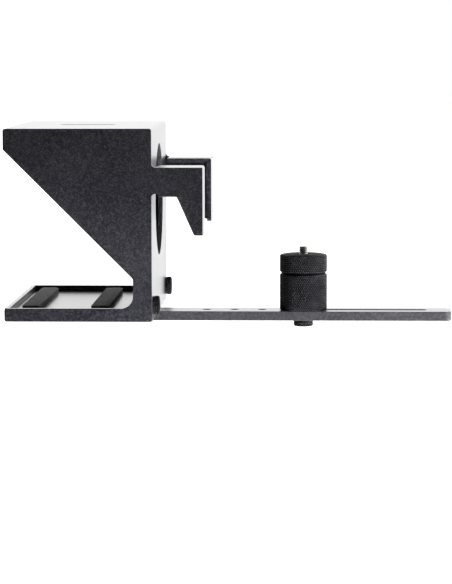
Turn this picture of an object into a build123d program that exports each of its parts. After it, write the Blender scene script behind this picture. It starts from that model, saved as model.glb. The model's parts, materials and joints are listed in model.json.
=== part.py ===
"""Hooded camera teleprompter for a phone, on a flat rail with a stacked camera riser.

Millimetres, +Z up. +X points from the presenter's side towards the camera, Y runs across
the hood. The origin is the middle tripod socket, on the underside of the rail.
"""

from build123d import *
import math
import os

INCH = 25.4

# Rail: flat bar that carries the hood and the camera riser
RAIL_LENGTH = 10 * INCH
RAIL_WIDTH = INCH
RAIL_THICKNESS = INCH / 4
RAIL_FRONT_X = -105.5
RAIL_END_RADIUS = 4.5
SOCKET_PITCH = 0.75 * INCH
SOCKET_MINOR_RADIUS = 2.6
SOCKET_CHAMFER = 0.5
SLOT_START_X = 36.5
SLOT_LENGTH = 95.6
SLOT_WIDTH = 6.9
RAIL_SCREW_X = (-92.0, -67.0)

# Hood: five plates welded edge to edge, open towards the presenter
HOOD_REAR_X = -51.5
HOOD_LENGTH = 97.5
HOOD_HEIGHT = 5 * INCH
HOOD_INNER_WIDTH = 6 * INCH
PLATE = 3.0
ARM_HEIGHT = 8.8
ARM_CORNER_RADIUS = 8.2
LEG_WIDTH = 12.5
DIAGONAL_LOW_Z = 28.3
DIAGONAL_CORNER_RADIUS = 3.0
OUTLINE_RADIUS = 1.5
EDGE_BREAK = 0.5
LENS_HOLE_DIAMETER = 3 * INCH
LENS_AXIS_HEIGHT = 3 * INCH
TOP_SLOT_LENGTH = 1.5 * INCH
TOP_SLOT_WIDTH = 6.6

# Hook behind each side plate: a web in the plate's plane with an inward top and rear flange
HOOK_LENGTH = 33.5
HOOK_TOP_Z = 4 * INCH
HOOK_BOTTOM_Z = 57.0
HOOK_NECK_Z = 82.4
HOOK_TIP_WIDTH = 5.7
HOOK_THROAT_X = 16.5
HOOK_FLANGE = 30.0
HOOK_ROOT_RADIUS = 2.8
RELIEF_RADIUS = 2.8

# Phone tray: a thin L-shaped insert, held by two thumb screws through the rear panel
TRAY_SHEET = 1.6
TRAY_SIDE_GAP = 0.4
TRAY_UPSTAND_Z = 22.0
TRAY_BEND_RADIUS = 0.8
PAD_THICKNESS = 4.6
PAD_SIZE = (12.0, 124.0)
PAD_X = (-82.0, -36.0)

# Thumb screws: knurled heads in two sizes
TRAY_KNOB_RADIUS = INCH / 4
TRAY_KNOB_HEIGHT = 3.5
RISER_KNOB_HEIGHT = 3.9
KNOB_DIMPLE_RADIUS = 3.4
KNOB_DIMPLE_DEPTH = 0.6
WASHER_RADIUS = 6.0
WASHER_THICKNESS = 0.8
TRAY_SCREW_Y = 66.7
TRAY_SCREW_Z = 9.9
TRAY_SCREW_RADIUS = 2.4
TRAY_SCREW_LENGTH = 12.0
TRAY_HOLE_RADIUS = 2.7
NUT_RADIUS = 4.0
NUT_LENGTH = 4.0
TURNING_CLEARANCE = 0.05

# Beam-splitter glass: lies at 45 degrees just behind the side plates' diagonal edges
GLASS_THICKNESS = 3.0
GLASS_LENGTH = 112.0
GLASS_SIDE_GAP = 0.4
GLASS_FACE_GAP = 0.35
CHANNEL_OFFSET = 0.8
CHANNEL_WIDTH = 7.0
CHANNEL_DEPTH = 6.0
CHANNEL_WEB = 1.0
CHANNEL_LENGTH = 120.0
STOP_THICKNESS = 3.0
STOP_LEG_HEIGHT = 8.0
STOP_LEG_THICKNESS = 2.0
BUMPER_THICKNESS = 2.0
BUMPER_GAP = 0.3

# Camera riser: two knurled barrels on quarter-inch studs, clamped through the rail's slot
# (a rolled knurl raises the surface of its inch-size bar)
RISER_X = 47.4
KNURL_RISE = 0.3
RISER_RADIUS = 0.625 * INCH + KNURL_RISE
RISER_KNOB_RADIUS = INCH / 4 + KNURL_RISE
LOWER_BARREL = INCH
UPPER_BARREL = INCH / 2
GROOVE_CHAMFER = 1.3
RIM_CHAMFER = 0.7
STUD_RADIUS = 3.15
STUD_HOLE_DEPTH = 9.0
STUD_PROTRUSION = 5.5
STUD_RELIEF_RADIUS = 2.6
STUD_RELIEF_PROUD = 0.7
SLIDE_GAP = 0.1
CAMERA_PAD_RADIUS = 13.5
CAMERA_PAD_BORE = 4.5
CAMERA_PAD_RECESS = 1.2
CAMERA_PAD_PROUD = 0.4

# Derived places
HOOD_Z = RAIL_THICKNESS
HOOD_FRONT_X = HOOD_REAR_X - HOOD_LENGTH
HOOD_INNER_Y = HOOD_INNER_WIDTH / 2
PANEL_FRONT_X = HOOD_REAR_X - PLATE
TRAY_FLOOR_Z = HOOD_Z + PLATE + TRAY_SHEET
TRAY_BACK_X = PANEL_FRONT_X - TRAY_SHEET
TRAY_HALF_WIDTH = HOOD_INNER_Y - TRAY_SIDE_GAP
SCREW_AXIS_Z = HOOD_Z + TRAY_SCREW_Z
LENS_AXIS_Z = HOOD_Z + LENS_AXIS_HEIGHT
RISER_BASE_Z = RAIL_THICKNESS + SLIDE_GAP
RISER_SEAM_Z = RISER_BASE_Z + LOWER_BARREL
RISER_TOP_Z = RISER_SEAM_Z + UPPER_BARREL


def box(x0, x1, y0, y1, z0, z1):
    """A block between two opposite corners."""
    centre = ((x0 + x1) / 2, (y0 + y1) / 2, (z0 + z1) / 2)
    return Pos(*centre) * Box(abs(x1 - x0), abs(y1 - y0), abs(z1 - z0))


def rod(start, direction, radius, length):
    """A cylinder from a start point along a direction."""
    plane = Plane(origin=start, z_dir=direction)
    return extrude(plane * Circle(radius), length)


def edges_at(shape, axis, value):
    """The edges that lie wholly on the plane where the axis has that value."""
    return shape.edges().filter_by_position(axis, value, value)


def side_profile(points, y, depth):
    """A closed outline in the X-Z plane, extruded from y towards -Y."""
    plane = Plane(origin=(0, y, 0), x_dir=(1, 0, 0), z_dir=(0, -1, 0))
    face = make_face(Polyline(*points, close=True))
    return extrude(plane * face, depth)


def hood_point(x, z):
    """A point given from the hood's rear bottom corner."""
    return (HOOD_REAR_X + x, HOOD_Z + z)


def fillet_at(shape, point, radius):
    """Round the one edge across the plate that passes through an outline point."""
    tolerance = 0.01
    near = (
        shape.edges()
        .filter_by(Axis.Y)
        .filter_by_position(Axis.X, point[0] - tolerance, point[0] + tolerance)
        .filter_by_position(Axis.Z, point[1] - tolerance, point[1] + tolerance)
    )
    return fillet(near, radius)


def side_plate_right():
    """C-shaped side plate with its tray arm, 45-degree window edge and rear hook."""
    diagonal_top_z = DIAGONAL_LOW_Z + HOOD_LENGTH - LEG_WIDTH
    top_front = hood_point(-HOOD_LENGTH, HOOD_HEIGHT)
    top_rear = hood_point(0, HOOD_HEIGHT)
    hook_root = hood_point(0, HOOK_TOP_Z)
    hook_top = hood_point(HOOK_LENGTH, HOOK_TOP_Z)
    hook_tip = hood_point(HOOK_LENGTH, HOOK_BOTTOM_Z)
    hook_tip_inner = hood_point(HOOK_LENGTH - HOOK_TIP_WIDTH, HOOK_BOTTOM_Z)
    throat = hood_point(HOOK_THROAT_X, HOOK_NECK_Z)
    neck = hood_point(0, HOOK_NECK_Z)
    bottom_rear = hood_point(0, 0)
    bottom_front = hood_point(-HOOD_LENGTH, 0)
    arm_front = hood_point(-HOOD_LENGTH, ARM_HEIGHT)
    arm_root = hood_point(-LEG_WIDTH, ARM_HEIGHT)
    diagonal_low = hood_point(-LEG_WIDTH, DIAGONAL_LOW_Z)
    diagonal_top = hood_point(-HOOD_LENGTH, diagonal_top_z)
    outline = [
        top_front, top_rear, hook_root, hook_top, hook_tip, hook_tip_inner, throat, neck,
        bottom_rear, bottom_front, arm_front, arm_root, diagonal_low, diagonal_top,
    ]
    plate = side_profile(outline, -HOOD_INNER_Y, PLATE)
    rounds = [
        (top_front, OUTLINE_RADIUS), (top_rear, OUTLINE_RADIUS), (hook_root, HOOK_ROOT_RADIUS),
        (hook_tip, OUTLINE_RADIUS), (hook_tip_inner, OUTLINE_RADIUS), (throat, OUTLINE_RADIUS),
        (bottom_rear, OUTLINE_RADIUS), (bottom_front, OUTLINE_RADIUS),
        (arm_front, OUTLINE_RADIUS), (arm_root, ARM_CORNER_RADIUS),
        (diagonal_low, DIAGONAL_CORNER_RADIUS), (diagonal_top, OUTLINE_RADIUS),
    ]
    for point, radius in rounds:
        plate = fillet_at(plate, point, radius)
    outer_y = -HOOD_INNER_Y - PLATE
    relief_x, relief_z = hood_point(RELIEF_RADIUS * 0.9, HOOK_NECK_Z - 0.9)
    plate -= rod((relief_x, outer_y - 1, relief_z), (0, 1, 0), RELIEF_RADIUS, PLATE + 2)
    hook_x, hook_z = hook_top
    flange_y = outer_y + HOOK_FLANGE
    top_flange = box(
        hook_root[0] + HOOK_ROOT_RADIUS, hook_x, outer_y, flange_y, hook_z - PLATE, hook_z
    )
    rear_flange = box(hook_x - PLATE, hook_x, outer_y, flange_y, hook_tip[1], hook_z)
    flanges = fillet_at(top_flange + rear_flange, hook_top, OUTLINE_RADIUS)
    tip_corner = flanges.edges().filter_by(Axis.X).group_by(Axis.Y)[-1].group_by(Axis.Z)[0]
    flanges = fillet(tip_corner, HOOK_ROOT_RADIUS)
    plate += flanges
    plate = fillet(edges_at(plate, Axis.Y, outer_y), EDGE_BREAK)
    return plate


def side_plate_left():
    """Mirror image of the other side plate."""
    return mirror(side_plate_right(), about=Plane.XZ)


def top_cover():
    """Roof of the hood, with a long slot over the glass."""
    top = HOOD_Z + HOOD_HEIGHT
    plate = box(HOOD_FRONT_X, PANEL_FRONT_X, -HOOD_INNER_Y, HOOD_INNER_Y, top - PLATE, top)
    middle_x = HOOD_REAR_X - HOOD_LENGTH / 2
    slot = Pos(middle_x, 0, top - 1.5 * PLATE) * SlotOverall(TOP_SLOT_LENGTH, TOP_SLOT_WIDTH)
    plate -= extrude(slot, 2 * PLATE)
    front_edges = edges_at(plate, Axis.X, HOOD_FRONT_X).filter_by(Axis.Y).sort_by(Axis.Z)
    plate = fillet(front_edges[0], EDGE_BREAK)
    upper_edge = edges_at(plate, Axis.X, HOOD_FRONT_X).filter_by(Axis.Y).sort_by(Axis.Z)[-1]
    return fillet(upper_edge, OUTLINE_RADIUS)


def rear_panel():
    """Back wall of the hood with the lens hole and the two tray screw holes."""
    top = HOOD_Z + HOOD_HEIGHT
    plate = box(PANEL_FRONT_X, HOOD_REAR_X, -HOOD_INNER_Y, HOOD_INNER_Y, HOOD_Z, top)
    start_x = PANEL_FRONT_X - 1
    reach = PLATE + 2
    plate -= rod((start_x, 0, LENS_AXIS_Z), (1, 0, 0), LENS_HOLE_DIAMETER / 2, reach)
    for y in (-TRAY_SCREW_Y, TRAY_SCREW_Y):
        plate -= rod((start_x, y, SCREW_AXIS_Z), (1, 0, 0), TRAY_HOLE_RADIUS, reach)
    upper_edge = edges_at(plate, Axis.X, HOOD_REAR_X).filter_by(Axis.Y).sort_by(Axis.Z)[-1]
    return fillet(upper_edge, OUTLINE_RADIUS)


def base_plate():
    """Floor of the hood, turned up at the front into a lip, countersunk for the rail."""
    floor = box(
        HOOD_FRONT_X, PANEL_FRONT_X, -HOOD_INNER_Y, HOOD_INNER_Y, HOOD_Z, HOOD_Z + PLATE
    )
    lip_inner_x = HOOD_FRONT_X + PLATE
    lip_z = HOOD_Z + ARM_HEIGHT
    plate = floor + box(HOOD_FRONT_X, lip_inner_x, -HOOD_INNER_Y, HOOD_INNER_Y, HOOD_Z, lip_z)
    corner = edges_at(plate, Axis.X, HOOD_FRONT_X).filter_by(Axis.Y).sort_by(Axis.Z)[0]
    plate = fillet(corner, OUTLINE_RADIUS)
    plate = fillet(edges_at(plate, Axis.Z, lip_z).filter_by(Axis.Y), EDGE_BREAK)
    for x in RAIL_SCREW_X:
        plate -= rail_screw(x, clearance=0.1)
    return plate


def rail_screw(x, clearance=0.0):
    """One countersunk quarter-inch screw that holds the rail under the base plate."""
    head_radius = 5.6 + clearance
    shank_radius = STUD_RADIUS + clearance
    head_top_z = HOOD_Z + PLATE
    head_depth = head_radius - shank_radius
    cone = Pos(x, 0, head_top_z - head_depth / 2) * Cone(shank_radius, head_radius, head_depth)
    length = PLATE + RAIL_THICKNESS - 0.5
    return cone + rod((x, 0, head_top_z), (0, 0, -1), shank_radius, length)


def rail_screws():
    """Both rail screws, each with a hexagon key socket."""
    solids = []
    for x in RAIL_SCREW_X:
        socket = Pos(x, 0, HOOD_Z + PLATE - 1.8) * RegularPolygon(2.2, 6)
        solids.append(rail_screw(x) - extrude(socket, 3))
    return Compound(children=solids)


def rail_bar():
    """Flat bar with three tripod sockets, a long riser slot and rounded ends."""
    rear_x = RAIL_FRONT_X + RAIL_LENGTH
    half = RAIL_WIDTH / 2
    bar = box(RAIL_FRONT_X, rear_x, -half, half, 0, RAIL_THICKNESS)
    bar = fillet(bar.edges().filter_by(Axis.Z), RAIL_END_RADIUS)
    bar = chamfer(edges_at(bar, Axis.Z, 0) + edges_at(bar, Axis.Z, RAIL_THICKNESS), 0.4)
    slot = Pos(SLOT_START_X + SLOT_LENGTH / 2, 0, -1) * SlotOverall(SLOT_LENGTH, SLOT_WIDTH)
    bar -= extrude(slot, RAIL_THICKNESS + 2)
    for x in (-SOCKET_PITCH, 0, SOCKET_PITCH):
        bar -= rod((x, 0, -1), (0, 0, 1), SOCKET_MINOR_RADIUS, RAIL_THICKNESS + 2)
        rim = Cone(SOCKET_MINOR_RADIUS, SOCKET_MINOR_RADIUS + SOCKET_CHAMFER, SOCKET_CHAMFER)
        bar -= Pos(x, 0, RAIL_THICKNESS - SOCKET_CHAMFER / 2) * rim
    for x in RAIL_SCREW_X:
        bar -= rod((x, 0, -1), (0, 0, 1), STUD_RADIUS + 0.1, RAIL_THICKNESS + 2)
    return bar


def phone_tray():
    """Thin L-shaped insert: flat floor, tight bend and an upstand against the rear panel."""
    front_x = HOOD_FRONT_X + PLATE + TRAY_SIDE_GAP
    half = TRAY_HALF_WIDTH
    floor = box(front_x, PANEL_FRONT_X, -half, half, TRAY_FLOOR_Z - TRAY_SHEET, TRAY_FLOOR_Z)
    top_z = HOOD_Z + TRAY_UPSTAND_Z
    tray = floor + box(
        TRAY_BACK_X, PANEL_FRONT_X, -half, half, TRAY_FLOOR_Z - TRAY_SHEET, top_z
    )
    across = tray.edges().filter_by(Axis.Y)
    inner = across.filter_by_position(Axis.X, TRAY_BACK_X - 0.01, TRAY_BACK_X + 0.01)
    tray = fillet(inner.sort_by(Axis.Z)[0], TRAY_BEND_RADIUS)
    outer = tray.edges().filter_by(Axis.Y).group_by(Axis.Z)[0].sort_by(Axis.X)[-1]
    tray = fillet(outer, TRAY_BEND_RADIUS + TRAY_SHEET * 0.8)
    corners = tray.edges().filter_by(Axis.X).filter_by_position(
        Axis.Z, top_z - 0.01, top_z + 0.01
    )
    tray = fillet(corners, 6)
    for y in (-TRAY_SCREW_Y, TRAY_SCREW_Y):
        tray -= rod((TRAY_BACK_X - 1, y, SCREW_AXIS_Z), (1, 0, 0), TRAY_HOLE_RADIUS, 4)
    return tray


def tray_nuts():
    """Two round clinch nuts on the front of the tray's upstand."""
    solids = []
    for y in (-TRAY_SCREW_Y, TRAY_SCREW_Y):
        start = (TRAY_BACK_X, y, SCREW_AXIS_Z)
        nut = rod(start, (-1, 0, 0), NUT_RADIUS, NUT_LENGTH)
        nut -= rod(start, (-1, 0, 0), TRAY_SCREW_RADIUS + TURNING_CLEARANCE, NUT_LENGTH)
        solids.append(nut)
    return Compound(children=solids)


def phone_rest_pads():
    """Two foam strips that carry the phone level with the arms' top edges."""
    solids = []
    for x in PAD_X:
        centre_x = HOOD_REAR_X + x
        centre_z = TRAY_FLOOR_Z + PAD_THICKNESS / 2
        pad = Pos(centre_x, 0, centre_z) * Box(*PAD_SIZE, PAD_THICKNESS)
        pad = fillet(pad.edges().filter_by(Axis.Z), 2)
        solids.append(fillet(pad.faces().sort_by(Axis.Z)[-1].edges(), 0.8))
    return Compound(children=solids)


def knurled_head(radius, height):
    """A thumb screw's head standing on Z = 0, with a shallow dimple on its end."""
    head = rod((0, 0, 0), (0, 0, 1), radius, height)
    head = chamfer(edges_at(head, Axis.Z, 0), 0.4)
    head = fillet(edges_at(head, Axis.Z, height), 0.8)
    dimple_z = height - KNOB_DIMPLE_DEPTH
    return head - rod((0, 0, dimple_z), (0, 0, 1), KNOB_DIMPLE_RADIUS, height)


def thumb_screw(shank_radius, shank_length, head_radius, head_height):
    """Head above Z = 0 and shank below it, with a pointed lead at the shank's end."""
    shank = rod((0, 0, 0.1), (0, 0, -1), shank_radius, shank_length + 0.1)
    shank = chamfer(edges_at(shank, Axis.Z, -shank_length), 0.6)
    return knurled_head(head_radius, head_height) + shank


def tray_thumb_screw(y):
    """Thumb screw through the rear panel into one tray nut, head towards the camera."""
    seat = Plane(
        origin=(HOOD_REAR_X + WASHER_THICKNESS, y, SCREW_AXIS_Z), x_dir=(0, 1, 0), z_dir=(1, 0, 0)
    )
    return seat * thumb_screw(
        TRAY_SCREW_RADIUS, TRAY_SCREW_LENGTH, TRAY_KNOB_RADIUS, TRAY_KNOB_HEIGHT
    )


def washer(start, direction, bore_radius):
    """A thin nylon washer of the thumb screws' size."""
    disc = rod(start, direction, WASHER_RADIUS, WASHER_THICKNESS)
    return disc - rod(start, direction, bore_radius, WASHER_THICKNESS)


def tray_screw_washers():
    """The two washers between the tray screws' heads and the rear panel."""
    return Compound(
        children=[
            washer((HOOD_REAR_X, y, SCREW_AXIS_Z), (1, 0, 0), TRAY_HOLE_RADIUS)
            for y in (-TRAY_SCREW_Y, TRAY_SCREW_Y)
        ]
    )


def glass_plane():
    """Plane of the diagonal: local x runs up the slope, local z across, y off the slope.

    Its origin is the diagonal's sharp lower corner on the hood's middle plane.
    """
    x, z = hood_point(-LEG_WIDTH, DIAGONAL_LOW_Z)
    return Plane(origin=(x, 0, z), x_dir=(-1, 0, 1), z_dir=(0, 1, 0))


def sloped_box(s0, s1, n0, n1, y0, y1):
    """A block along the diagonal: s up the slope, n square off it towards the lens."""
    local = Pos((s0 + s1) / 2, (n0 + n1) / 2, (y0 + y1) / 2)
    return glass_plane() * local * Box(s1 - s0, n1 - n0, y1 - y0)


def glass_centre_offset():
    """Distance of the glass's middle plane from the diagonal edge."""
    return CHANNEL_OFFSET + CHANNEL_WIDTH / 2


def beam_splitter_glass():
    """The sheet of coated glass, resting just above its lower bumper."""
    half_width = HOOD_INNER_Y - CHANNEL_WEB - GLASS_SIDE_GAP
    middle = glass_centre_offset()
    low, high = middle - GLASS_THICKNESS / 2, middle + GLASS_THICKNESS / 2
    glass = sloped_box(0, GLASS_LENGTH, low, high, -half_width, half_width)
    return chamfer(glass.edges(), 0.3)


def glass_channel(side):
    """U-shaped guide bonded along one side plate, open at its upper end."""
    wall_y = side * HOOD_INNER_Y
    open_y = side * (HOOD_INNER_Y - CHANNEL_DEPTH)
    web_y = side * (HOOD_INNER_Y - CHANNEL_WEB)
    low, high = CHANNEL_OFFSET, CHANNEL_OFFSET + CHANNEL_WIDTH
    start = -BUMPER_THICKNESS - BUMPER_GAP
    end = start + CHANNEL_LENGTH
    channel = sloped_box(start, end, low, high, min(wall_y, open_y), max(wall_y, open_y))
    gap = GLASS_THICKNESS / 2 + GLASS_FACE_GAP
    middle = glass_centre_offset()
    past_y = open_y - side
    groove_y = (min(web_y, past_y), max(web_y, past_y))
    channel -= sloped_box(start - 1, end + 1, middle - gap, middle + gap, *groove_y)
    return channel


def glass_lower_stop():
    """Angle strip on the rear panel that carries the lower ends of glass and channels."""
    top = -BUMPER_THICKNESS - BUMPER_GAP
    low, high = CHANNEL_OFFSET, CHANNEL_OFFSET + CHANNEL_WIDTH
    ledge = sloped_box(top - STOP_THICKNESS, top, low, high, -HOOD_INNER_Y, HOOD_INNER_Y)
    leg_top = HOOD_Z + DIAGONAL_LOW_Z + STOP_THICKNESS
    leg = box(
        PANEL_FRONT_X - STOP_LEG_THICKNESS, PANEL_FRONT_X, -HOOD_INNER_Y, HOOD_INNER_Y,
        leg_top - STOP_LEG_HEIGHT, leg_top,
    )
    behind_panel = box(PANEL_FRONT_X, HOOD_REAR_X, -HOOD_INNER_Y, HOOD_INNER_Y, HOOD_Z, leg_top)
    return ledge + leg - behind_panel


def glass_bumper():
    """Rubber strip on the lower stop, under the glass's edge."""
    half = HOOD_INNER_Y - CHANNEL_DEPTH - 0.5
    low, high = CHANNEL_OFFSET + 0.5, CHANNEL_OFFSET + CHANNEL_WIDTH - 0.5
    strip = sloped_box(-BUMPER_THICKNESS - BUMPER_GAP, -BUMPER_GAP, low, high, -half, half)
    return strip


def barrel(base_z, height, bottom_chamfer, top_chamfer):
    """One plain riser barrel with chamfered rims."""
    body = rod((RISER_X, 0, base_z), (0, 0, 1), RISER_RADIUS, height)
    body = chamfer(edges_at(body, Axis.Z, base_z), bottom_chamfer)
    return chamfer(edges_at(body, Axis.Z, base_z + height), top_chamfer)


def riser_lower_barrel():
    """Lower barrel, tapped from below for the clamp screw and from above for the stud."""
    body = barrel(RISER_BASE_Z, LOWER_BARREL, RIM_CHAMFER, GROOVE_CHAMFER)
    hole_radius = STUD_RADIUS + TURNING_CLEARANCE
    body -= rod((RISER_X, 0, RISER_BASE_Z), (0, 0, 1), hole_radius, STUD_HOLE_DEPTH + 1)
    return body - rod((RISER_X, 0, RISER_SEAM_Z), (0, 0, -1), hole_radius, STUD_HOLE_DEPTH)


def riser_upper_barrel():
    """Upper barrel, turning on the link stud, recessed on top for the camera pad."""
    base_z = RISER_SEAM_Z + SLIDE_GAP
    height = UPPER_BARREL - SLIDE_GAP
    body = barrel(base_z, height, GROOVE_CHAMFER, RIM_CHAMFER)
    hole_radius = STUD_RADIUS + TURNING_CLEARANCE
    body -= rod((RISER_X, 0, base_z - 1), (0, 0, 1), hole_radius, UPPER_BARREL + 2)
    recess_z = RISER_TOP_Z - CAMERA_PAD_RECESS
    body -= rod((RISER_X, 0, recess_z), (0, 0, 1), CAMERA_PAD_RADIUS, CAMERA_PAD_RECESS + 1)
    return body


def stud(start_z, end_z):
    """A quarter-inch stud on the riser's axis with chamfered ends."""
    body = rod((RISER_X, 0, start_z), (0, 0, 1), STUD_RADIUS, end_z - start_z)
    return chamfer(edges_at(body, Axis.Z, start_z) + edges_at(body, Axis.Z, end_z), 0.5)


def riser_link_stud():
    """Stud fixed in the lower barrel, on which the upper barrel turns."""
    return stud(RISER_SEAM_Z - STUD_HOLE_DEPTH + 0.5, RISER_SEAM_Z + 5)


def camera_stud():
    """Stud fixed in the upper barrel, undercut where it passes through the camera pad."""
    body = stud(RISER_TOP_Z - 7, RISER_TOP_Z + STUD_PROTRUSION)
    start = (RISER_X, 0, RISER_TOP_Z - CAMERA_PAD_RECESS)
    height = CAMERA_PAD_RECESS + STUD_RELIEF_PROUD
    relief = rod(start, (0, 0, 1), STUD_RADIUS + 1, height)
    relief -= rod(start, (0, 0, 1), STUD_RELIEF_RADIUS, height)
    return body - relief


def camera_pad():
    """Rubber ring on top of the riser, under the camera."""
    height = CAMERA_PAD_RECESS + CAMERA_PAD_PROUD
    start = (RISER_X, 0, RISER_TOP_Z - CAMERA_PAD_RECESS)
    ring = rod(start, (0, 0, 1), CAMERA_PAD_RADIUS - 0.1, height)
    ring -= rod(start, (0, 0, 1), CAMERA_PAD_BORE, height)
    return chamfer(edges_at(ring, Axis.Z, start[2] + height), 0.3)


def riser_washer():
    """Nylon washer between the clamp screw's head and the rail's underside."""
    return washer((RISER_X, 0, -SLIDE_GAP), (0, 0, -1), STUD_RADIUS + TURNING_CLEARANCE)


def riser_thumb_screw():
    """Clamp screw that passes up through the slot into the lower barrel."""
    seat_z = -SLIDE_GAP - WASHER_THICKNESS
    seat = Plane(origin=(RISER_X, 0, seat_z), x_dir=(1, 0, 0), z_dir=(0, 0, -1))
    reach = RISER_BASE_Z + STUD_HOLE_DEPTH - seat_z
    return seat * thumb_screw(STUD_RADIUS, reach, RISER_KNOB_RADIUS, RISER_KNOB_HEIGHT)


PARTS = {
    "side_plate_right": side_plate_right,
    "side_plate_left": side_plate_left,
    "top_cover": top_cover,
    "rear_panel": rear_panel,
    "base_plate": base_plate,
    "rail_bar": rail_bar,
    "rail_screws": rail_screws,
    "phone_tray": phone_tray,
    "tray_nuts": tray_nuts,
    "phone_rest_pads": phone_rest_pads,
    "tray_screw_washers": tray_screw_washers,
    "tray_thumb_screw_right": lambda: tray_thumb_screw(-TRAY_SCREW_Y),
    "tray_thumb_screw_left": lambda: tray_thumb_screw(TRAY_SCREW_Y),
    "beam_splitter_glass": beam_splitter_glass,
    "glass_channel_right": lambda: glass_channel(-1),
    "glass_channel_left": lambda: glass_channel(1),
    "glass_lower_stop": glass_lower_stop,
    "glass_bumper": glass_bumper,
    "riser_lower_barrel": riser_lower_barrel,
    "riser_link_stud": riser_link_stud,
    "riser_upper_barrel": riser_upper_barrel,
    "camera_stud": camera_stud,
    "camera_pad": camera_pad,
    "riser_washer": riser_washer,
    "riser_thumb_screw": riser_thumb_screw,
}

os.makedirs("parts", exist_ok=True)
for node, make in PARTS.items():
    export_step(make(), f"parts/{node}.step")
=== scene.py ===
"""Looks for a hooded phone teleprompter on a slotted rail with a knurled camera riser.

Metres, in the CAD model's frame: +X towards the camera side, +Z up, origin at the middle
tripod socket under the rail.
"""

import json
import math

import bmesh
import bpy
from mathutils import Matrix, Vector, noise


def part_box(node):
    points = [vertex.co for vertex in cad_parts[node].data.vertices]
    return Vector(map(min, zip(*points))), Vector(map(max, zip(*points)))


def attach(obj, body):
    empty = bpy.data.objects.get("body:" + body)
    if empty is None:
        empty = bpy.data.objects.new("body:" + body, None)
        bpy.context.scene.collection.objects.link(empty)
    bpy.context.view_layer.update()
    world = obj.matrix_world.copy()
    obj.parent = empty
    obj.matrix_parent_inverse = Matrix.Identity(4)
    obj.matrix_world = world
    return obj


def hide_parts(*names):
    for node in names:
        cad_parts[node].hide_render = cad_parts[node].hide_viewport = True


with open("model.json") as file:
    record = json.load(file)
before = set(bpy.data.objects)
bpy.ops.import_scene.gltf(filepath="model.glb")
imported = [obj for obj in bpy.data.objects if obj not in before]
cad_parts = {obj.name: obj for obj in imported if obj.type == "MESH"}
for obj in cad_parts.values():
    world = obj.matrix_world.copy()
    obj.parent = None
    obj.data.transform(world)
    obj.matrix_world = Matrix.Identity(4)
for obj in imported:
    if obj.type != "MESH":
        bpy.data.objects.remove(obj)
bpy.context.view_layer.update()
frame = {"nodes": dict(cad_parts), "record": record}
MM = 0.001


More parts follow.
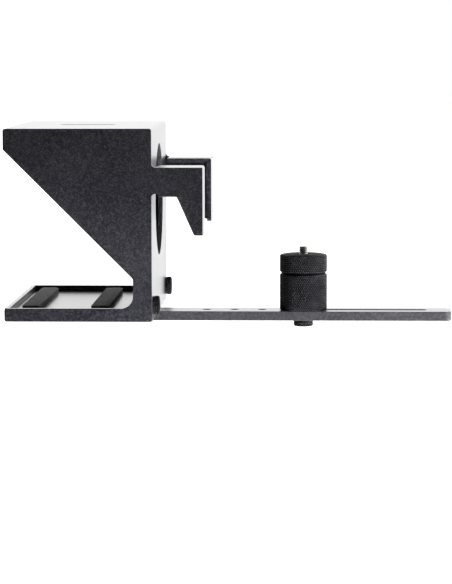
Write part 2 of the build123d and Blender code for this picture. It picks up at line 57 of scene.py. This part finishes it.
# ---------------------------------------------------------------- node helpers
class Shader:
    """A material whose nodes are added one call at a time."""

    def __init__(self, name, colour, roughness, metallic=0.0):
        self.material = bpy.data.materials.new(name)
        self.material.use_nodes = True
        self.tree = self.material.node_tree
        self.nodes, self.links = self.tree.nodes, self.tree.links
        self.bsdf = next(n for n in self.nodes if n.type == "BSDF_PRINCIPLED")
        self.bsdf.inputs["Base Color"].default_value = (*colour, 1.0)
        self.bsdf.inputs["Roughness"].default_value = roughness
        self.bsdf.inputs["Metallic"].default_value = metallic
        self.material.diffuse_color = (*colour, 1.0)
        self.place = self.nodes.new("ShaderNodeTexCoord").outputs["Object"]
        self.normal = None

    def set(self, **values):
        """Even values, set on the shader's own sockets; underscores stand for spaces."""
        for name, value in values.items():
            self.bsdf.inputs[name.replace("_", " ")].default_value = value

    def link(self, output, target):
        self.links.new(output, target)

    def noise(self, scale, detail=3.0, roughness=0.55, stretch=(1, 1, 1)):
        """Noise in object space; scale is in features per metre."""
        node = self.nodes.new("ShaderNodeTexNoise")
        node.inputs["Scale"].default_value = scale
        node.inputs["Detail"].default_value = detail
        node.inputs["Roughness"].default_value = roughness
        self.links.new(self.stretched(stretch), node.inputs["Vector"])
        return node.outputs["Fac"]

    def cells(self, scale):
        """Distance to the middle of round cells; scale is in cells per metre."""
        node = self.nodes.new("ShaderNodeTexVoronoi")
        node.inputs["Scale"].default_value = scale
        self.links.new(self.place, node.inputs["Vector"])
        return node.outputs["Distance"]

    def stretched(self, stretch):
        if stretch == (1, 1, 1):
            return self.place
        node = self.nodes.new("ShaderNodeMapping")
        node.inputs["Scale"].default_value = stretch
        self.links.new(self.place, node.inputs["Vector"])
        return node.outputs["Vector"]

    def ramp(self, value, low, high, out_low=0.0, out_high=1.0):
        """value remapped from low..high to out_low..out_high, clamped."""
        node = self.nodes.new("ShaderNodeMapRange")
        self.links.new(value, node.inputs["Value"])
        for name, number in (("From Min", low), ("From Max", high),
                             ("To Min", out_low), ("To Max", out_high)):
            node.inputs[name].default_value = number
        return node.outputs["Result"]

    def math(self, operation, a, b):
        node = self.nodes.new("ShaderNodeMath")
        node.operation = operation
        for socket, value in zip(node.inputs, (a, b)):
            if isinstance(value, (int, float)):
                socket.default_value = value
            else:
                self.links.new(value, socket)
        return node.outputs["Value"]

    def blend(self, factor, first, second):
        """A colour between two, each a tuple or an output."""
        node = self.nodes.new("ShaderNodeMix")
        node.data_type = "RGBA"
        self.links.new(factor, node.inputs["Factor"])
        for socket, value in ((node.inputs[6], first), (node.inputs[7], second)):
            if isinstance(value, tuple):
                socket.default_value = (*value, 1.0)
            else:
                self.links.new(value, socket)
        return node.outputs[2]

    def bump(self, height, distance, strength):
        """A bump from a height, laid over the bumps that are already there."""
        node = self.nodes.new("ShaderNodeBump")
        node.inputs["Distance"].default_value = distance
        node.inputs["Strength"].default_value = strength
        self.links.new(height, node.inputs["Height"])
        if self.normal is not None:
            self.links.new(self.normal, node.inputs["Normal"])
        self.normal = node.outputs["Normal"]
        self.links.new(self.normal, self.bsdf.inputs["Normal"])

    def edges(self, radius):
        """1 near sharp edges and 0 on flat faces, from a rounded normal."""
        bevel = self.nodes.new("ShaderNodeBevel")
        bevel.samples = 6
        bevel.inputs["Radius"].default_value = radius
        geometry = self.nodes.new("ShaderNodeNewGeometry")
        dot = self.nodes.new("ShaderNodeVectorMath")
        dot.operation = "DOT_PRODUCT"
        self.links.new(bevel.outputs["Normal"], dot.inputs[0])
        self.links.new(geometry.outputs["Normal"], dot.inputs[1])
        return self.ramp(self.math("SUBTRACT", 1.0, dot.outputs["Value"]), 0.02, 0.25)


def powder_coat(name, dark, light, edge_tone, roughness, coat):
    """Fine-textured black powder coat: orange peel, speckle, and colour lighter and a little glossier
    along sharp edges, in patches.
    """
    s = Shader(name, dark, roughness)
    s.set(Specular_IOR_Level=0.15, Coat_Weight=coat, Coat_Roughness=0.28, Coat_IOR=1.5)
    cloud = s.ramp(s.noise(14.0, 2.0), 0.35, 0.65)
    speck = s.ramp(s.noise(900.0, 2.0, 0.75), 0.44, 0.68)
    tone = s.math("ADD", s.math("MULTIPLY", cloud, 0.16), s.math("MULTIPLY", speck, 0.84))
    colour = s.blend(tone, dark, light)
    # Lighter and a little glossier along sharp edges, in patches.
    lightening = s.math("MULTIPLY", s.edges(0.5 * MM), s.ramp(s.noise(260.0, 4.0), 0.42, 0.62, 0.1, 0.9))
    s.link(s.blend(lightening, colour, edge_tone), s.bsdf.inputs["Base Color"])
    grain = s.ramp(s.noise(700.0, 3.0), 0.3, 0.7, roughness - 0.07, roughness + 0.07)
    s.link(s.math("SUBTRACT", grain, s.math("MULTIPLY", lightening, 0.12)), s.bsdf.inputs["Roughness"])
    s.bump(s.noise(1000.0, 2.0, 0.5), 0.14 * MM, 0.7)
    s.bump(s.noise(3200.0, 1.0, 0.5), 0.03 * MM, 0.5)
    return s.material


def anodised_knurl():
    """Satin black anodised aluminium: painted shade darkens the grooves, and a painted highlight,
    partly wear, lightens the tips.
    """
    s = Shader("anodised_black", (0.006, 0.006, 0.007), 0.5)
    s.set(Specular_IOR_Level=0.08)
    crest = s.nodes.new("ShaderNodeAttribute")
    crest.attribute_name = "crest"
    cloud = s.ramp(s.noise(60.0, 2.0), 0.35, 0.65, -0.12, 0.12)
    highlight_patches = s.ramp(s.noise(420.0, 3.0), 0.4, 0.75, 0.0, 0.35)
    # Painted shade: near black in the grooves, rising to a painted highlight on the tips.
    height = s.math("ADD", s.ramp(crest.outputs["Fac"], 0.62, 0.95), cloud)
    tone = s.blend(height, (0.0008, 0.0008, 0.001), (0.058, 0.058, 0.066))
    # A brighter painted highlight on the very tips, in patches, partly standing for wear.
    lightening = s.math("MULTIPLY", highlight_patches, s.ramp(crest.outputs["Fac"], 0.8, 1.0))
    s.link(s.blend(lightening, tone, (0.12, 0.12, 0.128)), s.bsdf.inputs["Base Color"])
    s.link(s.ramp(s.noise(900.0, 2.0), 0.3, 0.7, 0.46, 0.6), s.bsdf.inputs["Roughness"])
    s.bump(s.noise(2600.0, 2.0), 0.012 * MM, 0.5)
    return s.material


def channel_black():
    """Matt black anodised extrusion with fine draw lines along the slope."""
    s = Shader("black_channel", (0.022, 0.022, 0.024), 0.46, 0.4)
    lines = s.noise(90.0, 2.0, stretch=(1.0, 12.0, 1.0))
    s.link(s.blend(s.ramp(lines, 0.3, 0.7), (0.018, 0.018, 0.02), (0.032, 0.032, 0.034)),
           s.bsdf.inputs["Base Color"])
    s.link(s.ramp(lines, 0.3, 0.7, 0.38, 0.54), s.bsdf.inputs["Roughness"])
    s.bump(s.noise(2200.0, 2.0), 0.02 * MM, 0.5)
    return s.material


def steel(name, colour, dull, roughness):
    """Plated steel with uneven tarnish and tool marks."""
    s = Shader(name, colour, roughness, 1.0)
    patch = s.ramp(s.noise(380.0, 4.0), 0.4, 0.62)
    s.link(s.blend(patch, colour, dull), s.bsdf.inputs["Base Color"])
    s.link(s.ramp(s.noise(1300.0, 3.0), 0.3, 0.7, roughness - 0.08, roughness + 0.12),
           s.bsdf.inputs["Roughness"])
    s.bump(s.noise(2400.0, 2.0), 0.01 * MM, 0.5)
    return s.material


def rubber(name, colour, scale, depth):
    """Moulded matt rubber with a fine mottled skin and a dusty bloom."""
    s = Shader(name, colour, 0.72)
    bloom = s.ramp(s.noise(90.0, 4.0), 0.4, 0.7, 0.0, 0.5)
    s.link(s.blend(bloom, colour, tuple(1.9 * c + 0.01 for c in colour)), s.bsdf.inputs["Base Color"])
    s.link(s.ramp(s.noise(800.0, 2.0), 0.3, 0.7, 0.62, 0.82), s.bsdf.inputs["Roughness"])
    s.bump(s.noise(scale, 2.0), depth, 0.7)
    return s.material


def foam():
    """Fine closed-cell foam: small round pits, darkened as painted shade, over a soft, uneven skin."""
    s = Shader("foam_black", (0.02, 0.02, 0.021), 0.9)
    s.set(Sheen_Weight=0.15, Sheen_Roughness=0.6)
    pits = s.cells(1500.0)
    # Painted shade: the colour darkens towards the middle of each pit.
    s.link(s.blend(s.ramp(pits, 0.1, 0.6), (0.009, 0.009, 0.01), (0.034, 0.034, 0.036)),
           s.bsdf.inputs["Base Color"])
    s.link(s.ramp(s.noise(500.0, 3.0), 0.3, 0.7, 0.82, 0.97), s.bsdf.inputs["Roughness"])
    s.bump(s.ramp(pits, 0.0, 0.55), 0.12 * MM, 0.8)
    s.bump(s.noise(160.0, 2.0), 0.15 * MM, 0.4)
    return s.material


def nylon():
    """Black nylon with faint flow marks."""
    s = Shader("nylon_black", (0.012, 0.012, 0.013), 0.6)
    s.set(Specular_IOR_Level=0.2)
    s.link(s.blend(s.ramp(s.noise(240.0, 3.0), 0.35, 0.65), (0.006, 0.006, 0.007), (0.02, 0.02, 0.021)),
           s.bsdf.inputs["Base Color"])
    s.link(s.ramp(s.noise(900.0, 2.0), 0.3, 0.7, 0.42, 0.6), s.bsdf.inputs["Roughness"])
    s.bump(s.noise(1800.0, 2.0), 0.02 * MM, 0.6)
    return s.material


def splitter_glass():
    """Clear sheet with a thin partly reflecting coat and faint wipe marks."""
    s = Shader("splitter_glass", (0.93, 0.97, 0.96), 0.01)
    s.set(Transmission_Weight=1.0, IOR=1.5, Coat_Weight=1.0, Coat_IOR=2.6, Coat_Roughness=0.01)
    wipe = s.ramp(s.noise(30.0, 4.0, stretch=(1.0, 4.0, 1.0)), 0.5, 0.75, 0.004, 0.035)
    s.link(wipe, s.bsdf.inputs["Roughness"])
    s.bump(s.noise(9.0, 1.0), 0.01 * MM, 0.15)
    return s.material


MATERIALS = {
    "powder_coat": powder_coat(
        "powder_coat", (0.005, 0.005, 0.008), (0.060, 0.059, 0.069), (0.12, 0.12, 0.125), 0.5, 1.0
    ),
    "rail_coat": powder_coat(
        "rail_coat", (0.024, 0.024, 0.027), (0.074, 0.073, 0.081), (0.15, 0.15, 0.155), 0.45, 0.88
    ),
    "anodised_black": anodised_knurl(),
    "black_channel": channel_black(),
    "steel_zinc": steel("steel_zinc", (0.62, 0.61, 0.58), (0.42, 0.41, 0.38), 0.3),
    "black_oxide": steel("black_oxide", (0.06, 0.06, 0.062), (0.1, 0.095, 0.09), 0.4),
    "nylon_black": nylon(),
    "foam_black": foam(),
    "rubber_black": rubber("rubber_black", (0.02, 0.02, 0.021), 1600.0, 0.03 * MM),
    "splitter_glass": splitter_glass(),
}


# ---------------------------------------------------------------- mesh helpers
def add_piece(name, solid, slot, body, nodes, place=Matrix.Identity(4), sharp=30.0):
    """A finished mesh piece that rides on a body and stands for CAD nodes."""
    mesh = bpy.data.meshes.new(name)
    mesh.from_pydata([place @ Vector(v) for v in solid.verts], [], solid.faces)
    crest = mesh.attributes.new("crest", "FLOAT", "POINT")
    crest.data.foreach_set("value", solid.crest)
    shell = bmesh.new()
    shell.from_mesh(mesh)
    bmesh.ops.recalc_face_normals(shell, faces=shell.faces)
    shell.to_mesh(mesh)
    shell.free()
    mesh.shade_smooth()
    mesh.set_sharp_from_angle(angle=math.radians(sharp))
    mesh.materials.append(MATERIALS[slot])
    piece = bpy.data.objects.new(name, mesh)
    bpy.context.scene.collection.objects.link(piece)
    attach(piece, body)
    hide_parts(*nodes)
    return piece


class Solid:
    """Vertices and faces of a body built from rings about its local Z axis.

    crest is 1 on the tips, which take a painted highlight, 0 in grooves, which take painted shade, and
    between on plain turned faces.
    """

    def __init__(self, verts=(), faces=()):
        self.verts, self.faces = list(verts), list(faces)
        self.crest = [0.3] * len(self.verts)

    def vertex(self, radius, angle, z, crest=0.3):
        self.verts.append((radius * math.cos(angle), radius * math.sin(angle), z))
        self.crest.append(crest)
        return len(self.verts) - 1

    def ring(self, angles, radius, z):
        return [self.vertex(radius, a, z) for a in angles]

    def join(self, first, second):
        """Quads between two rings of the same length."""
        n = len(first)
        for i in range(n):
            k = (i + 1) % n
            self.faces.append((first[i], first[k], second[k], second[i]))

    def follow(self, ring, angles, profile):
        """More rings along a profile of (radius, z); returns the last one."""
        for radius, z in profile:
            new = self.ring(angles, radius, z)
            self.join(ring, new)
            ring = new
        return ring

    def cap(self, ring, z):
        centre = self.vertex(0.0, 0.0, z)
        n = len(ring)
        for i in range(n):
            self.faces.append((ring[i], ring[(i + 1) % n], centre))

    def knurl(self, count, rows, low, high, tip, depth):
        """Crossed V-grooves: flat-topped diamonds between heights low and high.

        Returns the bottom ring, the top ring and the angles that both rings share.
        """
        step, rise = math.pi / count, (high - low) / rows
        valley_radius, flat = tip - depth, 0.32
        valley, tips = {}, {}
        for j in range(rows + 1):
            for i in range(2 * count):
                if (i + j) % 2 == 0:
                    valley[i, j] = self.vertex(valley_radius, i * step, low + j * rise, 0.0)
                    continue
                spots = {
                    "left": ((i - flat) * step, j), "right": ((i + flat) * step, j),
                    "down": (i * step, j - flat), "up": (i * step, j + flat),
                }
                tips[i, j] = {
                    side: self.vertex(tip, angle, low + row * rise, 1.0)
                    for side, (angle, row) in spots.items()
                    if 0 <= row <= rows
                }
        around = 2 * count
        for (i, j), t in tips.items():
            left, right = valley[(i - 1) % around, j], valley[(i + 1) % around, j]
            self.faces.append(tuple(t[s] for s in ("left", "down", "right", "up") if s in t))
            if "down" in t:
                down = valley[i, j - 1]
                self.faces.append((left, down, t["down"], t["left"]))
                self.faces.append((down, right, t["right"], t["down"]))
            if "up" in t:
                up = valley[i, j + 1]
                self.faces.append((right, up, t["up"], t["right"]))
                self.faces.append((up, left, t["left"], t["up"]))
        rings, angles = [], []
        for j in (0, rows):
            ring, spots = [], []
            for i in range(around):
                if (i + j) % 2 == 0:
                    ring.append(valley[i, j])
                    spots.append(i * step)
                else:
                    ring += [tips[i, j]["left"], tips[i, j]["right"]]
                    spots += [(i - flat) * step, (i + flat) * step]
            rings.append(ring)
            angles.append(spots)
        return rings[0], rings[1], angles[0], angles[1]

    def thread(self, radius, pitch, depth, low, high):
        """A threaded length between two heights with tapered ends, closed by caps."""
        per_pitch, facets, taper = 10, 36, 0.45 * pitch
        rows = round((high - low) / pitch * per_pitch)
        angles = [2 * math.pi * k / facets for k in range(facets)]
        rings = []
        for j in range(rows + 1):
            z = low + (high - low) * j / rows
            inset = min(z - low, high - z)
            limit = radius - depth * max(0.0, 1.0 - inset / taper)
            ring = []
            for a in angles:
                phase = (z / pitch - a / (2 * math.pi)) % 1.0
                groove = max(0.0, min(1.0, 2.6 * (0.42 - abs(phase - 0.5)) + 0.2))
                ring.append(self.vertex(min(limit, radius - depth * groove), a, z))
            rings.append(ring)
        for first, second in zip(rings, rings[1:]):
            self.join(first, second)
        self.cap(rings[0], low)
        self.cap(rings[-1], high)
        return self


def knurled(count, rows, low, high, tip, depth, below, above, through):
    """A knurled band closed by a profile below it and one above it."""
    s = Solid()
    bottom, top, bottom_angles, top_angles = s.knurl(count, rows, low, high, tip, depth)
    lower = s.follow(bottom, bottom_angles, below)
    upper = s.follow(top, top_angles, above)
    if through:
        s.join(lower, upper)
    else:
        s.cap(lower, below[-1][1])
        s.cap(upper, above[-1][1])
    return s


def size_of(node):
    """Lowest corner, highest corner and middle of a CAD node at rest."""
    low, high = (Vector(c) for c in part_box(node))
    return low, high, (low + high) / 2


# ---------------------------------------------------------------- riser
KNURL_PITCH = 1.4 * MM
KNURL_DEPTH = 0.46 * MM
KNURL_ANGLE = 30.0
BARREL_RIM = 0.7 * MM
BARREL_GROOVE = 1.3 * MM
STUD_BORE = 3.2 * MM
SOCKET_CHAMFER = 0.4 * MM
CLAMP_SOCKET_CHAMFER = 0.5 * MM
CLAMP_SOCKET_DEPTH = 10.0 * MM
LINK_SOCKET_DEPTH = 9.0 * MM
PAD_RECESS = 1.2 * MM
PAD_RECESS_RADIUS = 13.5 * MM
PAD_RECESS_CHAMFER = 0.2 * MM
THREAD_PITCH = 1.27 * MM
THREAD_DEPTH = 0.5 * MM


def knurl_counts(radius, band):
    """Diamonds around, and an even number of half rows, for lines off the axis by an angle."""
    count = round(2 * math.pi * radius / KNURL_PITCH)
    half_row = KNURL_PITCH / 2 / math.tan(math.radians(KNURL_ANGLE))
    return count, max(2, 2 * round(band / half_row / 2))


def riser_lower_barrel():
    """Knurled barrel with a groove round its top and a threaded stud's bore at each end."""
    low, high, middle = size_of("riser_lower_barrel")
    radius, height = (high.x - low.x) / 2, high.z - low.z
    count, rows = knurl_counts(radius, height - BARREL_RIM - BARREL_GROOVE)
    below = [
        (radius - BARREL_RIM, 0.0),
        (STUD_BORE + CLAMP_SOCKET_CHAMFER, 0.0),
        (STUD_BORE, CLAMP_SOCKET_CHAMFER),
        (STUD_BORE, CLAMP_SOCKET_DEPTH),
    ]
    above = [
        (radius - BARREL_GROOVE, height),
        (STUD_BORE + SOCKET_CHAMFER, height),
        (STUD_BORE, height - SOCKET_CHAMFER),
        (STUD_BORE, height - LINK_SOCKET_DEPTH),
    ]
    solid = knurled(count, rows, BARREL_RIM, height - BARREL_GROOVE, radius, KNURL_DEPTH,
                    below, above, through=False)
    add_piece("riser_lower_barrel_knurled", solid, "anodised_black", "riser_base",
              ["riser_lower_barrel"], Matrix.Translation((middle.x, 0, low.z)))


def riser_upper_barrel():
    """Knurled barrel with a groove round its foot, a through bore and the pad's recess."""
    low, high, middle = size_of("riser_upper_barrel")
    radius, height = (high.x - low.x) / 2, high.z - low.z
    count, rows = knurl_counts(radius, height - BARREL_RIM - BARREL_GROOVE)
    below = [
        (radius - BARREL_GROOVE, 0.0),
        (STUD_BORE + SOCKET_CHAMFER, 0.0),
        (STUD_BORE, SOCKET_CHAMFER),
    ]
    above = [
        (radius - BARREL_RIM, height),
        (PAD_RECESS_RADIUS + PAD_RECESS_CHAMFER, height),
        (PAD_RECESS_RADIUS, height - PAD_RECESS_CHAMFER),
        (PAD_RECESS_RADIUS, height - PAD_RECESS),
        (STUD_BORE, height - PAD_RECESS),
    ]
    solid = knurled(count, rows, BARREL_GROOVE, height - BARREL_RIM, radius, KNURL_DEPTH,
                    below, above, through=True)
    add_piece("riser_upper_barrel_knurled", solid, "anodised_black", "riser_head",
              ["riser_upper_barrel"], Matrix.Translation((middle.x, 0, low.z)))


def riser_studs():
    """The stud between the barrels and the camera's stud, both threaded over their length."""
    for node, body in (("riser_link_stud", "riser_base"), ("camera_stud", "riser_head")):
        low, high, middle = size_of(node)
        radius, length = (high.x - low.x) / 2, high.z - low.z
        rod = Solid().thread(radius, THREAD_PITCH, THREAD_DEPTH, 0.0, length)
        add_piece(node + "_threaded", rod, "steel_zinc", body, [node],
                  Matrix.Translation((middle.x, 0, low.z)), sharp=60.0)


def camera_pad():
    """Rubber ring with raised concentric ribs on its face."""
    low, high, middle = size_of("camera_pad")
    outer, height = (high.x - low.x) / 2, high.z - low.z
    bore, ribs, rib_depth = 4.5 * MM, 7, 0.28 * MM
    outer_edge, bore_edge, plain = 0.3 * MM, 0.2 * MM, 0.6 * MM
    profile = [(outer, 0.0), (outer, height - outer_edge), (outer - outer_edge, height)]
    width = (outer - bore - 2 * plain) / ribs
    for k in range(ribs):
        start = outer - plain - k * width
        profile += [
            (start - 0.15 * width, height),
            (start - 0.35 * width, height - rib_depth),
            (start - 0.65 * width, height - rib_depth),
            (start - 0.85 * width, height),
        ]
    profile += [(bore + bore_edge, height), (bore, height - bore_edge), (bore, 0.0)]
    solid, facets = Solid(), 96
    angles = [2 * math.pi * k / facets for k in range(facets)]
    first = solid.ring(angles, *profile[0])
    last = solid.follow(first, angles, profile[1:])
    solid.join(last, first)
    add_piece("camera_pad_ribbed", solid, "rubber_black", "riser_head",
              ["camera_pad"], Matrix.Translation((middle.x, 0, low.z)), sharp=50.0)


# ---------------------------------------------------------------- thumb screws
TRAY_HEAD_HEIGHT = 3.5 * MM
TRAY_SHANK_RADIUS = 2.4 * MM
TRAY_THREAD_PITCH = 1.06 * MM
RISER_HEAD_HEIGHT = 3.9 * MM
RISER_SHANK_RADIUS = 3.15 * MM
SHANK_THREAD_SHARE = 0.14
HEAD_KNURL_PITCH = 1.35 * MM
HEAD_KNURL_DEPTH = 0.38 * MM
HEAD_FOOT_BAND = 0.55 * MM
HEAD_CROWN_BAND = 0.75 * MM
# Radius of each step in the head's end and its depth below the end, in millimetres.
DIMPLE_STEPS = ((3.7, 0.0), (3.4, 0.15), (3.1, 0.5), (2.6, 0.6))


def thumb_screw(name, node, body, seat, height, shank_radius, shank_length, thread_pitch):
    """Knurled head above the seat plane with a dimpled end, and a threaded shank below."""
    low, high, _ = size_of(node)
    head = (high.y - low.y) / 2
    count, rows = round(2 * math.pi * head / HEAD_KNURL_PITCH), 2
    below = [
        (head - 0.35 * MM, 0.12 * MM),
        (head - 0.6 * MM, 0.0),
        (shank_radius - 0.2 * MM, 0.0),
    ]
    above = [
        (head - 0.35 * MM, height - 0.3 * MM),
        (head - 0.8 * MM, height),
    ]
    above += [(radius * MM, height - depth * MM) for radius, depth in DIMPLE_STEPS]
    screw = knurled(count, rows, HEAD_FOOT_BAND, height - HEAD_CROWN_BAND, head, HEAD_KNURL_DEPTH,
                    below, above, through=False)
    into_head = 0.05 * MM
    thread_depth = SHANK_THREAD_SHARE * shank_radius
    screw.thread(shank_radius, thread_pitch, thread_depth, -shank_length, into_head)
    add_piece(name, screw, "anodised_black", body, [node], seat, sharp=35.0)


def tray_thumb_screws():
    """Two screws into the hood's rear panel, with their heads towards +X."""
    along_x = Matrix.Rotation(math.radians(90), 4, "Y")
    for side in ("right", "left"):
        node = f"tray_thumb_screw_{side}"
        low, high, middle = size_of(node)
        seat_x = high.x - TRAY_HEAD_HEIGHT
        seat = Matrix.Translation((seat_x, middle.y, middle.z)) @ along_x
        thumb_screw(node + "_knurled", node, f"tray_screw_{side}_body", seat,
                    TRAY_HEAD_HEIGHT, TRAY_SHANK_RADIUS, seat_x - low.x, TRAY_THREAD_PITCH)


def riser_thumb_screw():
    """The clamp screw, up through the rail's slot with its head below."""
    down = Matrix.Rotation(math.radians(180), 4, "X")
    low, high, middle = size_of("riser_thumb_screw")
    seat_z = low.z + RISER_HEAD_HEIGHT
    seat = Matrix.Translation((middle.x, 0, seat_z)) @ down
    thumb_screw("riser_thumb_screw_knurled", "riser_thumb_screw", "riser_knob", seat,
                RISER_HEAD_HEIGHT, RISER_SHANK_RADIUS, high.z - seat_z, THREAD_PITCH)


# ---------------------------------------------------------------- foam strips
FOAM_WIDTH = 12.0 * MM
FOAM_CORNER = 2.2 * MM
FOAM_CUTS = (12, 96, 6)
FOAM_WAIST = 0.045
FOAM_EDGE_DROP = 0.55 * MM
FOAM_SINK = 0.14 * MM
FOAM_WAVE = 0.12 * MM
FOAM_WAVE_LENGTH = 9.0 * MM


def cut_block():
    """A unit cube about its middle, cut finely along its three axes."""
    grid = bmesh.new()
    bmesh.ops.create_cube(grid, size=1.0)
    for axis, cuts in enumerate(FOAM_CUTS):
        chosen = [
            edge for edge in grid.edges
            if abs((edge.verts[0].co - edge.verts[1].co)[axis]) > 0.5
        ]
        bmesh.ops.subdivide_edges(grid, edges=chosen, cuts=cuts, use_grid_fill=True)
    return grid


def foam_point(u, t, h, length, height):
    """Where a point of the block lies on a strip: u across and t along in -1..1, h up in 0..1."""
    x, y, z = u * FOAM_WIDTH / 2, t * length / 2, h * height
    inner_x, inner_y = FOAM_WIDTH / 2 - FOAM_CORNER, length / 2 - FOAM_CORNER
    over_x, over_y = abs(x) - inner_x, abs(y) - inner_y
    if over_x > 0 and over_y > 0:
        inward = max(over_x, over_y) / math.hypot(over_x, over_y)
        x = math.copysign(inner_x + over_x * inward, x)
        y = math.copysign(inner_y + over_y * inward, y)
    pull = 1.0 - FOAM_WAIST * math.sin(math.pi * h)
    edge_drop = FOAM_EDGE_DROP * (abs(u) ** 6 + abs(t) ** 40) * h
    wave = noise.noise(Vector((x, y, z)) / FOAM_WAVE_LENGTH) * FOAM_WAVE
    return x * pull, y, max(0.0, z - edge_drop - (FOAM_SINK - wave) * h)


def foam_pads():
    """Two crowned foam strips with pulled-in sides, lying on the tray floor."""
    low, high, _ = size_of("phone_rest_pads")
    length, height = high.y - low.y, high.z - low.z
    for index, x0 in enumerate((low.x, high.x - FOAM_WIDTH)):
        grid = cut_block()
        corner = Vector((x0 + FOAM_WIDTH / 2, 0.0, low.z))
        for v in grid.verts:
            spot = foam_point(2 * v.co.x, 2 * v.co.y, v.co.z + 0.5, length, height)
            v.co = Vector(spot) + corner
        grid.verts.index_update()
        verts = [tuple(v.co) for v in grid.verts]
        faces = [tuple(v.index for v in face.verts) for face in grid.faces]
        grid.free()
        pad = add_piece(f"phone_rest_pad_{index}", Solid(verts, faces), "foam_black",
                        "hood_and_rail", ["phone_rest_pads"], sharp=80.0)


# ---------------------------------------------------------------- CAD finishes
def finish_cad_nodes():
    """Every CAD node that stays visible takes its slot's procedural material."""
    for entry in frame["record"]["subparts"]:
        node = frame["nodes"][entry["node"]]
        material = MATERIALS[entry["material_slot"]]
        if not node.material_slots:
            node.data.materials.append(material)
        for held in node.material_slots:
            held.material = material


# ---------------------------------------------------------------- studio
FLOOR_Z = -0.22
FLOOR_REACH = 15.0
FLOOR_FRONT = -0.2
# The surroundings brighten towards this direction, between these two cosines to it.
BRIGHT_SIDE = (0.5, 0.87, 0.0)
SHADE_FROM = -0.35
SHADE_TO = 0.9
FRONT_LIGHT = 0.06
BACK_LIGHT = 1.82


def surroundings(scene):
    """White all round to the eye, but lighting mostly from behind and the camera's end."""
    world = bpy.data.worlds.new("studio")
    scene.world = world
    world.use_nodes = True
    nodes, links = world.node_tree.nodes, world.node_tree.links
    nodes.clear()
    across = nodes.new("ShaderNodeVectorMath")
    across.operation = "DOT_PRODUCT"
    across.inputs[1].default_value = BRIGHT_SIDE
    links.new(nodes.new("ShaderNodeTexCoord").outputs["Generated"], across.inputs[0])
    shade = nodes.new("ShaderNodeMapRange")
    shade.interpolation_type = "SMOOTHSTEP"
    for name, number in (("From Min", SHADE_FROM), ("From Max", SHADE_TO),
                         ("To Min", FRONT_LIGHT), ("To Max", BACK_LIGHT)):
        shade.inputs[name].default_value = number
    links.new(across.outputs["Value"], shade.inputs["Value"])
    lit, seen = (nodes.new("ShaderNodeBackground") for _ in range(2))
    links.new(shade.outputs["Result"], lit.inputs["Strength"])
    for background in (lit, seen):
        background.inputs["Color"].default_value = (1, 1, 1, 1)
    mix = nodes.new("ShaderNodeMixShader")
    links.new(nodes.new("ShaderNodeLightPath").outputs["Is Camera Ray"], mix.inputs[0])
    links.new(lit.outputs[0], mix.inputs[1])
    links.new(seen.outputs[0], mix.inputs[2])
    links.new(mix.outputs[0], nodes.new("ShaderNodeOutputWorld").inputs["Surface"])


def pale_floor(scene):
    """A floor below the object that shows as plain white and lights it from below."""
    mesh = bpy.data.meshes.new("floor")
    near, far = FLOOR_FRONT, FLOOR_REACH
    corners = [(-far, near), (far, near), (far, far), (-far, far)]
    mesh.from_pydata([(x, y, FLOOR_Z) for x, y in corners], [], [(0, 1, 2, 3)])
    floor = bpy.data.objects.new("floor", mesh)
    scene.collection.objects.link(floor)
    pale = Shader("pale_floor", (0.92, 0.92, 0.92), 0.8)
    pale.set(Emission_Color=(1, 1, 1, 1), Emission_Strength=1.0)
    mesh.materials.append(pale.material)


def soft_box(scene, name, spot, aim, size, power, spread=180, mirrored=True):
    """A square lamp that the camera doesn't see; mirrored says whether gloss shows it."""
    lamp = bpy.data.lights.new(name, "AREA")
    lamp.shape = "SQUARE"
    lamp.spread = math.radians(spread)
    lamp.size = size
    lamp.energy = power
    light = bpy.data.objects.new(name, lamp)
    light.location = spot
    light.rotation_euler = (Vector(aim) - Vector(spot)).to_track_quat("-Z", "Y").to_euler()
    light.visible_camera = False
    light.visible_glossy = mirrored
    scene.collection.objects.link(light)


def studio():
    """Pale floor below the held-up object, white surroundings and three soft boxes."""
    scene = bpy.context.scene
    scene.view_settings.view_transform = "Standard"
    surroundings(scene)
    pale_floor(scene)
    soft_box(scene, "overhead_box", spot=(0.1, 0.5, 1.6), aim=(0, 0, 0), size=1.2, power=1.0)
    soft_box(scene, "low_hood_box", spot=(-0.02, -0.22, -0.13), aim=(-0.1, -0.07, 0.06),
             size=0.1, power=0.27, spread=75, mirrored=False)
    soft_box(scene, "right_box", spot=(0.42, -0.26, -0.1), aim=(0.075, 0.0, 0.01),
             size=0.15, power=0.58, spread=42, mirrored=False)


# ---------------------------------------------------------------- camera
VIEW_AZIMUTH = 2.17
VIEW_ELEVATION = 5.80
VIEW_ROLL = -0.10
VIEW_DISTANCE = 1.72
VIEW_TARGET = (-5.8 * MM, 0.0, 18.35 * MM)
LENS = 154.2


def camera():
    data = bpy.data.cameras.new("view")
    data.lens = LENS
    data.sensor_width = 36.0
    data.clip_start, data.clip_end = 0.05, 60.0
    cam = bpy.data.objects.new("view", data)
    a, e = math.radians(VIEW_AZIMUTH), math.radians(VIEW_ELEVATION)
    back = Vector((math.sin(a) * math.cos(e), -math.cos(a) * math.cos(e), math.sin(e)))
    cam.location = Vector(VIEW_TARGET) + back * VIEW_DISTANCE
    turn = (-back).to_track_quat("-Z", "Y").to_matrix().to_4x4()
    roll = Matrix.Rotation(math.radians(VIEW_ROLL), 4, "Z")
    cam.rotation_euler = (turn @ roll).to_euler()
    bpy.context.scene.collection.objects.link(cam)
    bpy.context.scene.camera = cam


camera()
studio()
finish_cad_nodes()
riser_lower_barrel()
riser_upper_barrel()
riser_studs()
camera_pad()
tray_thumb_screws()
riser_thumb_screw()
foam_pads()
